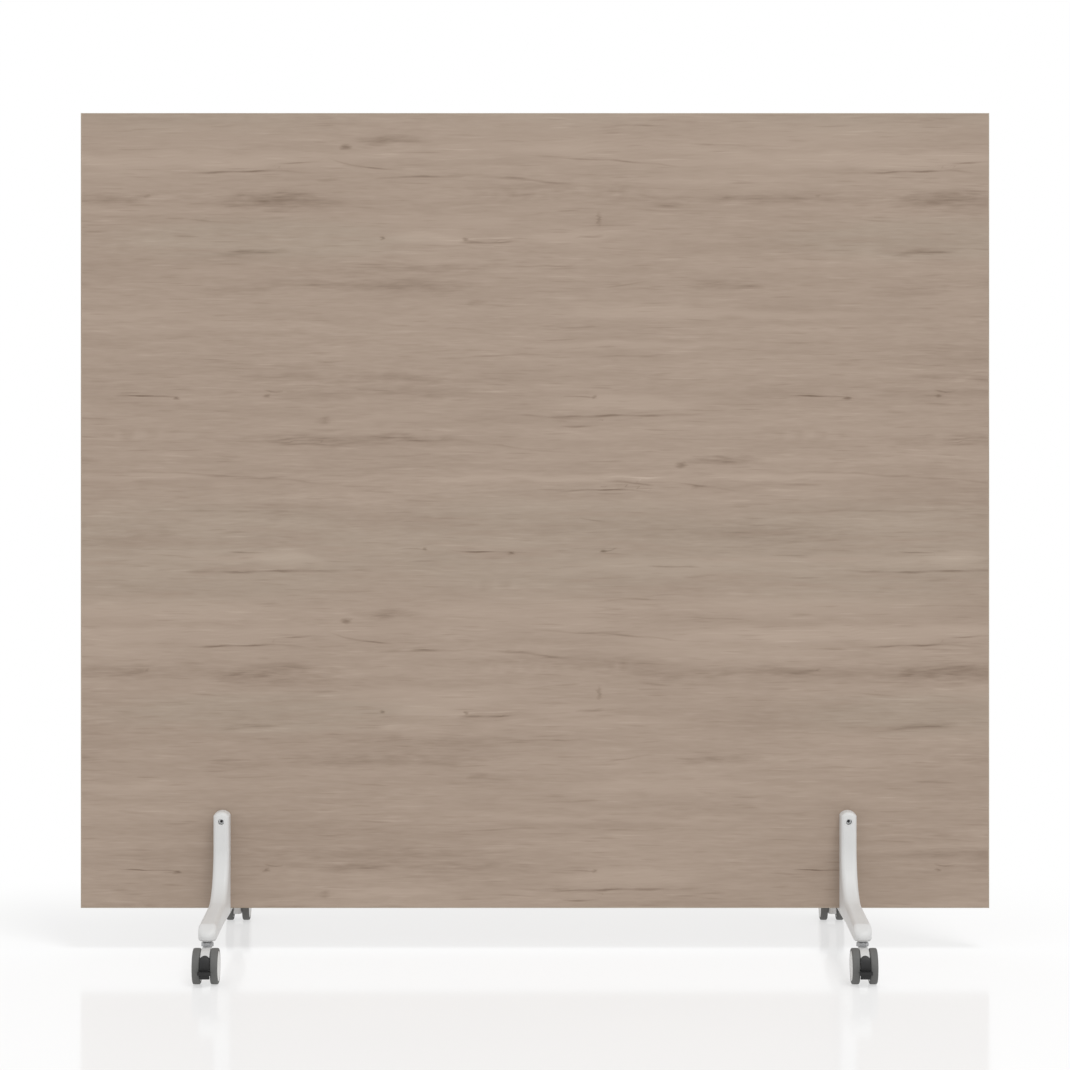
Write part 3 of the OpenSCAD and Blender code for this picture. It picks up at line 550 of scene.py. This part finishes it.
# A copy of a CAD node's mesh with its triangles joined into whole faces and its sharp edges rounded.
def easedCopy(name, radius, sharpAngle=32):
    mesh = nodes[name].data.copy()
    mesh.name = name + "_eased"
    piece = bpy.data.objects.new(name + "_eased", mesh)
    bpy.context.scene.collection.objects.link(piece)
    work = bmesh.new()
    work.from_mesh(mesh)
    bmesh.ops.remove_doubles(work, verts=work.verts, dist=1e-5)
    bmesh.ops.dissolve_limit(work, angle_limit=math.radians(1.0), verts=work.verts, edges=work.edges)
    sharp = [edge for edge in work.edges if len(edge.link_faces) == 2
             and edge.calc_face_angle() > math.radians(sharpAngle)]
    bmesh.ops.bevel(work, geom=sharp, offset=radius * mm, segments=3, profile=0.5, affect="EDGES",
                    clamp_overlap=True)
    bmesh.ops.triangulate(work, faces=[face for face in work.faces if len(face.verts) > 4])
    work.to_mesh(mesh)
    work.free()
    mesh.shade_smooth()
    mesh.set_sharp_from_angle(angle=math.radians(30))
    return piece


nodeFinish = {"stem_clip": blackSteel, "axle": zincSteel, "pedal_pin": zincSteel}
easedNodes = {"stem": ("divider", "zinc_steel", zincSteel, 0.25), "hood": ("swivel", "grey_plastic", hoodGrey, 0.6),
              "pedal": ("brake", "pedal_plastic", pedalBlack, 0.6)}
corners = {"front_left": (-1, -1), "front_right": (1, -1), "rear_left": (-1, 1), "rear_right": (1, 1)}
for corner in corners:
    for part, finish in nodeFinish.items():
        nodes[f"{corner}_{part}"].data.materials.clear()
        nodes[f"{corner}_{part}"].data.materials.append(finish)
    for part, (body, slot, finish, radius) in easedNodes.items():
        piece = easedCopy(f"{corner}_{part}", radius)
        dress(piece, body if body == "divider" else f"{corner}_{body}", slot, finish, f"{corner}_{part}")
for name, finish in (("board_core", chipboard), ("left_tie_plate", zincSteel), ("right_tie_plate", zincSteel),
                     ("tie_plate_screws", zincSteel), ("clamp_screws", clampZinc), ("sleeve_nuts", blackSteel)):
    nodes[name].data.materials.clear()
    nodes[name].data.materials.append(finish)


edging = {"roundOver": 0.9, "tones": [(0.3, (150, 134, 116)), (0.5, (165, 150, 133)), (0.7, (177, 163, 146))],
          "bands": (2.0, 120.0, 4.4, 3, 0.6), "fine": (30.0, 900.0, 8.1, 2, 0.6), "bandShare": 0.65}


# A band's cross-section, with its two outer edges rounded, carried straight from one end to the other.
def bandPiece(name, lengthAxis, outward):
    low, high = (np.array(corner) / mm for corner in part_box(name))
    other = 2 if lengthAxis == 0 else 0
    inner, outer = (low[other], high[other]) if outward > 0 else (high[other], low[other])
    section = softPath([(low[1], inner), (low[1], outer), (high[1], outer), (high[1], inner)],
                       [0.02, edging["roundOver"], edging["roundOver"], 0.02], 6)
    stops = np.linspace(low[lengthAxis], high[lengthAxis], 9)
    grid = np.zeros((len(stops), len(section), 3))
    grid[..., lengthAxis] = stops[:, None]
    grid[..., 1] = section[None, :, 0]
    grid[..., other] = section[None, :, 1]
    ends = []
    for row in (grid[0], grid[-1]):
        middle = np.broadcast_to(row.mean(0), row.shape)
        ends.append((np.stack([row, middle]), False, True))
    return meshPiece(name + "_edging", [(grid, False, True)] + ends)


# The bands' oak print: two layers of grain that run along the band.
def bandFinish(name, lengthAxis):
    material, tree, shader, place = newFinish(name, 0.5, 0.0, 0.4)
    parts = split(tree, place)
    bands = grain(tree, parts[lengthAxis], parts[1], *edging["bands"])
    fine = grain(tree, parts[lengthAxis], parts[1], *edging["fine"])
    tone = calc(tree, "ADD", calc(tree, "MULTIPLY", bands, edging["bandShare"]),
                calc(tree, "MULTIPLY", fine, 1 - edging["bandShare"]))
    feed(tree, shader.inputs["Base Color"], ramp(tree, tone, [(at, tint(*colour)) for at, colour in edging["tones"]]))
    feed(tree, shader.inputs["Normal"], bump(tree, tone, 0.2, 0.0002))
    return material


longEdge, sideEdge = bandFinish("longEdgeOak", 0), bandFinish("sideEdgeOak", 2)
for name, axis, outward, finish in (("top_band", 0, 1, longEdge), ("bottom_band", 0, -1, longEdge),
                                    ("left_band", 2, -1, sideEdge), ("right_band", 2, 1, sideEdge)):
    dress(bandPiece(name, axis, outward), "divider", "edge_band", finish, name)
print("edge bands made")


castArm = {"footX": 550, "halfPost": 14, "halfEnd": 15.5, "backY": 9.5, "frontY": 39.5, "topZ": 249,
           "crownR": 17, "baseZ": 68, "rootHigh": 38, "endHigh": 27, "stemY": 272, "kneeR": 85,
           "edgeR": 7.5, "tipR": 6.5, "tipFrom": 250, "tipTo": 275, "lowerR": 4.5, "backR": 0.8, "filletWide": 0.56,
           "noseY": 265, "noseFall": 0.70, "noseSoft": 3.0,
           "toe": ((-14, 0.2, 68.3), (14, 12, 76)), "boreZ": 232, "boreR": 4.3, "screwR": 5.3, "screwSeat": 24.5,
           "tieHalfWide": 9.3, "tieReach": 58.3, "tieThick": 3.0}


# How far a rounded edge of radius r has fallen at the distance d inside the outline.
def edgeDrop(d, r):
    return r - np.sqrt(np.maximum(r ** 2 - (r - np.clip(d, 0, r)) ** 2, 0))


# Straight lines join the back and underside of the casting to its front and top. Across each line lies a
# section whose corners are rounded by the distance to the outline, which is round at both ends. Past noseY
# the top falls away along a hyperbola.
def armSkin(s):
    slope = math.atan((s["rootHigh"] - s["endHigh"]) / (s["stemY"] - s["frontY"]))
    kneeY = s["frontY"] + s["kneeR"]
    kneeZ = s["baseZ"] + s["rootHigh"] - s["kneeR"] * math.tan(slope) + s["kneeR"] / math.cos(slope)
    crownZ = s["topZ"] - s["crownR"]
    spread = math.asin(s["halfPost"] / s["crownR"])
    crownTurn = np.linspace(0, spread, 15)
    postZ = np.concatenate([crownZ + s["crownR"] * np.cos(crownTurn),
                            np.linspace(crownZ + s["crownR"] * math.cos(spread), kneeZ, 10)[1:]])
    postHalf = np.concatenate([s["crownR"] * np.sin(crownTurn), np.full(9, float(s["halfPost"]))])
    outerPost = np.stack([np.full_like(postZ, s["frontY"]), postZ], -1)
    innerPost = np.stack([np.full_like(postZ, s["backY"]), postZ], -1)

    lastTurn = math.pi / 2 - slope
    turn = np.linspace(0, lastTurn, 41)[1:]
    outerKnee = np.stack([kneeY - s["kneeR"] * np.cos(turn), kneeZ - s["kneeR"] * np.sin(turn)], -1)
    kneeOut = outerKnee[-1, 0]
    share = turn / lastTurn
    innerKnee = np.stack([np.interp(share, [0, 0.5, 1], [s["backY"], s["backY"], kneeOut]),
                          np.interp(share, [0, 0.5, 1], [kneeZ, s["baseZ"], s["baseZ"]])], -1)
    kneeHalf = np.full(len(turn), float(s["halfPost"]))

    endTurn = np.linspace(0, math.pi / 2, 19)
    closer = s["noseY"] - 8
    armY = np.concatenate([np.linspace(kneeOut, closer, 20)[1:], np.linspace(closer, s["stemY"], 12)[1:-1],
                           s["stemY"] + s["halfEnd"] * np.sin(endTurn)])
    armHalf = np.where(armY <= s["stemY"],
                       np.interp(armY, [kneeY, s["stemY"]], [s["halfPost"], s["halfEnd"]]),
                       np.sqrt(np.maximum(s["halfEnd"] ** 2 - (armY - s["stemY"]) ** 2, 0)))
    pastNose = np.maximum(armY - s["noseY"], 0)
    noseDrop = s["noseFall"] * (np.hypot(pastNose, s["noseSoft"]) - s["noseSoft"])
    armTop = s["baseZ"] + s["endHigh"] - (armY - s["stemY"]) * math.tan(slope) - noseDrop
    outerArm = np.stack([armY, armTop], -1)
    innerArm = np.stack([armY, np.full_like(armY, s["baseZ"])], -1)

    outer = np.vstack([outerPost, outerKnee, outerArm])
    inner = np.vstack([innerPost, innerKnee, innerArm])
    half = np.concatenate([postHalf, kneeHalf, armHalf])[:, None]
    length = np.linalg.norm(outer - inner, axis=1)[:, None]
    toward = (outer - inner) / length
    inArm = np.concatenate([np.zeros(len(postZ)), share, np.ones(len(armY))])[:, None]
    nearTip = np.clip((outer[:, :1] - s["tipFrom"]) / (s["tipTo"] - s["tipFrom"]), 0, 1)
    outerR = np.minimum(s["edgeR"] + (s["tipR"] - s["edgeR"]) * nearTip, 0.5 * length)
    lowerR = np.minimum(s["backR"] + (s["lowerR"] - s["backR"]) * np.clip(inArm * 2 - 1, 0, 1), 0.4 * length)

    fillet = s["filletWide"] * (1 - np.cos(np.linspace(0, math.pi / 2, 9)))
    inward = np.concatenate([fillet, [0.7, 0.85, 1.0]])[None, :]

    def depthInside(x, y, z):
        plain = half - x
        crown = s["crownR"] - np.hypot(x, z - crownZ)
        tip = s["halfEnd"] - np.hypot(x, y - s["stemY"])
        plain = np.where(z > crownZ, np.minimum(plain + (s["halfPost"] - half), crown), plain)
        return np.maximum(np.where(y > s["stemY"], tip, plain), 0)

    faceX = half * (1 - inward)
    spanY, spanZ = outer[:, :1], outer[:, 1:]
    outerHeight = length - edgeDrop(depthInside(faceX, spanY, spanZ), outerR)
    innerHeight = edgeDrop(depthInside(faceX, inner[:, :1], inner[:, 1:]), lowerR)
    wall = np.linspace(0, 1, 6)[None, 1:-1]
    wallHeight = innerHeight[:, :1] + (outerHeight[:, :1] - innerHeight[:, :1]) * wall
    rightX = np.hstack([faceX[:, ::-1], np.broadcast_to(half, wallHeight.shape), faceX])
    rightH = np.hstack([innerHeight[:, ::-1], wallHeight, outerHeight])
    x = np.hstack([rightX, -rightX[:, ::-1][:, 1:-1]])
    h = np.hstack([rightH, rightH[:, ::-1][:, 1:-1]])
    y = inner[:, :1] + toward[:, :1] * h
    z = inner[:, 1:] + toward[:, 1:] * h
    return np.stack([x, y, z], -1)


# A block whose side outline has eased corners, laid across the width.
def sideBlock(outline, halfWide, ease):
    rim = softPath(outline, ease, 5)
    middle = rim.mean(0)
    pulled = middle + (rim - middle) * (1 - ease / np.linalg.norm(rim - middle, axis=1, keepdims=True))
    rows = [(middle + 0 * rim, -halfWide), (pulled, -halfWide), (rim, -halfWide + ease),
            (rim, halfWide - ease), (pulled, halfWide), (middle + 0 * rim, halfWide)]
    return np.stack([np.stack([np.full(len(line), wide), line[:, 0], line[:, 1]], -1) for line, wide in rows])


# A round rod along y with flat ends.
def rodAlongY(centreX, centreZ, radius, startY, endY, steps=48):
    angle = np.arange(steps) / steps * 2 * np.pi
    rows = []
    for y, r in ((startY, 0), (startY, radius), (endY, radius), (endY, 0)):
        rows.append(np.stack([centreX + r * np.cos(angle), np.full(steps, y), centreZ + r * np.sin(angle)], -1))
    return np.stack(rows)


# Foot coordinates lead away from the board; the front feet are turned half round.
def atFoot(points, signX, signY):
    placed = np.array(points, float)
    placed[..., 0] = signX * castArm["footX"] + placed[..., 0] * signY
    placed[..., 1] = placed[..., 1] * signY
    return placed


# A plain block between two corners.
def boxGrid(low, high):
    outline = [(low[1], low[2]), (high[1], low[2]), (high[1], high[2]), (low[1], high[2])]
    middle = (low[0] + high[0]) / 2
    grid = sideBlock(outline, (high[0] - low[0]) / 2, 0.01)
    grid[..., 0] += middle
    return grid


for corner, (signX, signY) in corners.items():
    s = castArm
    skin = armSkin(s)
    arm = meshPiece(f"{corner}_casting", [(atFoot(skin, signX, signY), False, True),
                                          (atFoot(boxGrid(*s["toe"]), signX, signY), False, True)], 32)
    tools = [rodAlongY(0, s["boreZ"], s["boreR"], -2, s["frontY"] + 2),
             rodAlongY(0, s["boreZ"], s["screwR"], s["screwSeat"], s["frontY"] + 2),
             boxGrid((-s["tieHalfWide"], -2, s["baseZ"] - 2),
                     (s["tieHalfWide"], s["tieReach"], s["baseZ"] + s["tieThick"]))]
    for tool in tools:
        cutBy(arm, meshPiece("tool", [(atFoot(tool, signX, signY), False, True)]), 32)
    dress(arm, "divider", "white_coat", powderWhite, f"{corner}_arm")
print("arms cast")


wheel = {"radius": 30, "width": 13, "bore": 25.05, "rim": 25, "gap": 17, "axleY": 296, "axleZ": 30, "sleeve": 6,
         "axleR": 3.05, "hubFace": -0.7, "disc": 9.7, "boreEnd": 10.0, "wall": 2.5, "ring": 3.5, "dish": 0.8}


# Half-sections of tyre and hub as (radius, distance from the wheel's inner side) with eased corners.
def tyreProfile(w):
    outline = [(w["bore"], 0.15), (w["radius"] - 0.2, 0.0), (w["radius"], w["width"] / 2),
               (w["radius"] - 0.2, w["width"]), (w["bore"], w["width"] - 0.15)]
    return softPath(outline, [0.4, 3.4, 2.0, 3.4, 0.4], 9)


def hubProfile(w):
    width, rim, dish = w["width"], w["rim"], w["width"] - w["dish"]
    outline = [(0, w["boreEnd"]), (w["axleR"], w["boreEnd"]), (w["axleR"], w["hubFace"]), (w["sleeve"], w["hubFace"]),
               (w["sleeve"], w["disc"]), (rim - w["wall"], w["disc"]), (rim - w["wall"], 0.5), (rim, 0.5),
               (rim, width - 0.6), (rim - 0.6, width), (rim - 1.5, width), (rim - 1.6, width - 0.35),
               (rim - 2.0, width - 0.35), (rim - 2.1, width), (rim - w["ring"], width),
               (rim - w["ring"] - 1.4, dish), (7.0, dish), (6.0, dish - 0.35), (0, dish - 0.35)]
    cuts = [0, 0.1, 0.3, 0.3, 0.8, 0.8, 0.3, 0.3, 0.3, 0.3, 0.1, 0.1, 0.1, 0.1, 0.5, 0.6, 0.4, 0.4, 0]
    return softPath(outline, cuts, 5, closed=False)


for corner, (signX, signY) in corners.items():
    for place, side in (("outer", signX), ("inner", -signX)):
        faceX = signX * castArm["footX"] + side * wheel["gap"] / 2
        centre = (faceX, signY * wheel["axleY"], wheel["axleZ"])
        tyreLine, hubLine = tyreProfile(wheel), hubProfile(wheel)
        tyreLine[:, 1] *= side
        hubLine[:, 1] *= side
        tread = meshPiece(f"{corner}_{place}_tread", [(turned(tyreLine, centre), True, True)])
        dress(tread, f"{corner}_{place}_wheel", "grey_tyre", tyreGrey, f"{corner}_{place}_tyre")
        disc = meshPiece(f"{corner}_{place}_disc", [(turned(hubLine, centre), False, True)])
        dress(disc, f"{corner}_{place}_wheel", "hub_plastic", hubGrey, f"{corner}_{place}_hub")
print("wheels turned")


studio = {"floorRadius": 9.0, "floorTone": 0.36, "floorLift": 0.652, "mirror": 0.16, "mirrorRough": 0.10,
          "fadeX": 2.2, "fadeY": 1.3, "fadeMiddle": -0.4, "fadeFrom": 0.58, "ambient": 0.76,
          "keyPlace": (3.7, -6.1, 13.5), "keySize": 5.5, "keyPower": 778}


# The floor is a pale matt surface with its own glow, so shadows on it stay light, and a weak mirror.
# Outside an ellipse round the divider it turns into plain white.
def floorFinish(s):
    material = bpy.data.materials.new("studioFloor")
    material.use_nodes = True
    tree = material.node_tree
    tree.nodes.clear()
    place = tree.nodes.new("ShaderNodeTexCoord").outputs["Object"]
    reach = vectorCalc(tree, "LENGTH", vectorCalc(tree, "MULTIPLY_ADD", place, (1 / s["fadeX"], 1 / s["fadeY"], 0),
                                                  (0, -s["fadeMiddle"] / s["fadeY"], 0)))
    diffuse = tree.nodes.new("ShaderNodeBsdfDiffuse")
    diffuse.inputs["Color"].default_value = (s["floorTone"],) * 3 + (1.0,)
    glow, white = (tree.nodes.new("ShaderNodeEmission") for _ in range(2))
    glow.inputs["Strength"].default_value = s["floorLift"]
    white.inputs["Strength"].default_value = 1.0
    matt = tree.nodes.new("ShaderNodeAddShader")
    gloss = tree.nodes.new("ShaderNodeBsdfGlossy")
    gloss.inputs["Roughness"].default_value = s["mirrorRough"]
    near, whole = (tree.nodes.new("ShaderNodeMixShader") for _ in range(2))
    near.inputs[0].default_value = s["mirror"]
    feed(tree, whole.inputs[0], remap(tree, reach, s["fadeFrom"], 1.0, 0.0, 1.0, True))
    out = tree.nodes.new("ShaderNodeOutputMaterial")
    for source, socket in ((diffuse, matt.inputs[0]), (glow, matt.inputs[1]), (matt, near.inputs[1]),
                           (gloss, near.inputs[2]), (near, whole.inputs[1]), (white, whole.inputs[2]),
                           (whole, out.inputs[0])):
        tree.links.new(source.outputs[0], socket)
    return material


angle = np.arange(64) / 64 * 2 * np.pi
rings = np.array([0, 0.2, 0.5, 1.0])[:, None] * studio["floorRadius"] / mm
floorGrid = np.stack([rings * np.cos(angle), rings * np.sin(angle), np.zeros((4, 64))], -1)
floor = meshPiece("studio_floor", [(floorGrid, False, True)])
floor.data.materials.append(floorFinish(studio))

world = bpy.data.worlds.new("studioWorld")
bpy.context.scene.world = world
world.use_nodes = True
skyTree = world.node_tree
sky = skyTree.nodes["Background"]
rays = skyTree.nodes.new("ShaderNodeLightPath")
seen = calc(skyTree, "MAXIMUM", rays.outputs["Is Camera Ray"],
            calc(skyTree, "MAXIMUM", rays.outputs["Is Glossy Ray"], rays.outputs["Is Transmission Ray"]))
sky.inputs["Color"].default_value = (1, 1, 1, 1)
feed(skyTree, sky.inputs["Strength"], remap(skyTree, seen, 0, 1, studio["ambient"], 1.0))


def softLamp(name, place, target, size, power):
    lamp = bpy.data.lights.new(name, "AREA")
    lamp.shape, lamp.size, lamp.energy = "DISK", size, power
    holder = bpy.data.objects.new(name, lamp)
    bpy.context.scene.collection.objects.link(holder)
    aim = np.array(target, float) - np.array(place, float)
    holder.location = place
    holder.rotation_euler = (math.atan2(math.hypot(aim[0], aim[1]), -aim[2]), 0,
                             math.atan2(aim[1], aim[0]) - math.pi / 2)


softLamp("keyLamp", studio["keyPlace"], (0, 0, 0.5), studio["keySize"], studio["keyPower"])

view = {"distance": 5.6695, "height": 1.0842, "lens": 108.13, "shiftY": -0.1864}
cameraData = bpy.data.cameras.new("camera")
cameraData.sensor_width, cameraData.lens, cameraData.shift_y = 36, view["lens"], view["shiftY"]
cameraData.clip_end = 100
camera = bpy.data.objects.new("camera", cameraData)
camera.location = (0, -view["distance"], view["height"])
camera.rotation_euler = (math.pi / 2, 0, 0)
bpy.context.scene.collection.objects.link(camera)
bpy.context.scene.camera = camera
bpy.context.scene.view_settings.view_transform = "Standard"
print("studio set")

bpy.context.view_layer.update()
